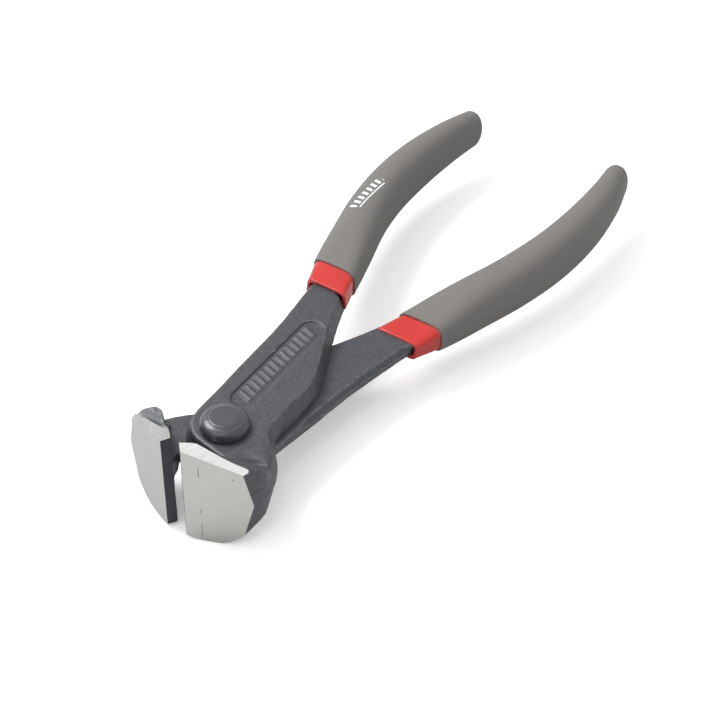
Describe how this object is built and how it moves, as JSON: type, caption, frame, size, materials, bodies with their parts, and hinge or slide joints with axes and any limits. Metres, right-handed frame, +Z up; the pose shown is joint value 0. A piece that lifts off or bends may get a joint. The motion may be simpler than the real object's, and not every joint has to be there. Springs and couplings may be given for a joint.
{
  "type": "end cutting nippers",
  "caption": "Hand nippers with upright end-cutting blades on C-shaped forged jaws, lapped levers on a headed rivet, and long curved two-layer grips.",
  "frame": {"origin": "middle of the tool's length and width, level with the flats on the belly of the jaws", "axes": "+Y from the jaws to the handle ends, +X to the right seen from above with the jaws nearest, +Z up along the pivot rivet towards its head"},
  "size_m": [0.0766, 0.2001, 0.0331],
  "materials": {
    "forged_steel": "black phosphated forging, fine blasted texture; blades ground bright",
    "rivet_steel": "black, satin",
    "red_sleeve": "glossy",
    "grey_grip": "matt, fine grain"
  },
  "bodies": {
    "upper_lever_body": {"upper_lever": "forged_steel", "pivot_rivet": "rivet_steel", "left_inner_sleeve": "red_sleeve", "left_outer_grip": "grey_grip"},
    "lower_lever_body": {"lower_lever": "forged_steel", "right_inner_sleeve": "red_sleeve", "right_outer_grip": "grey_grip"}
  },
  "joints": [
    {"name": "pivot_hinge", "type": "hinge", "parent": "upper_lever_body", "child": "lower_lever_body", "pos_m": [0, -0.07795, 0.0167], "axis": [0, 0, -1], "range_deg": [-7.5, 36]}
  ]
}
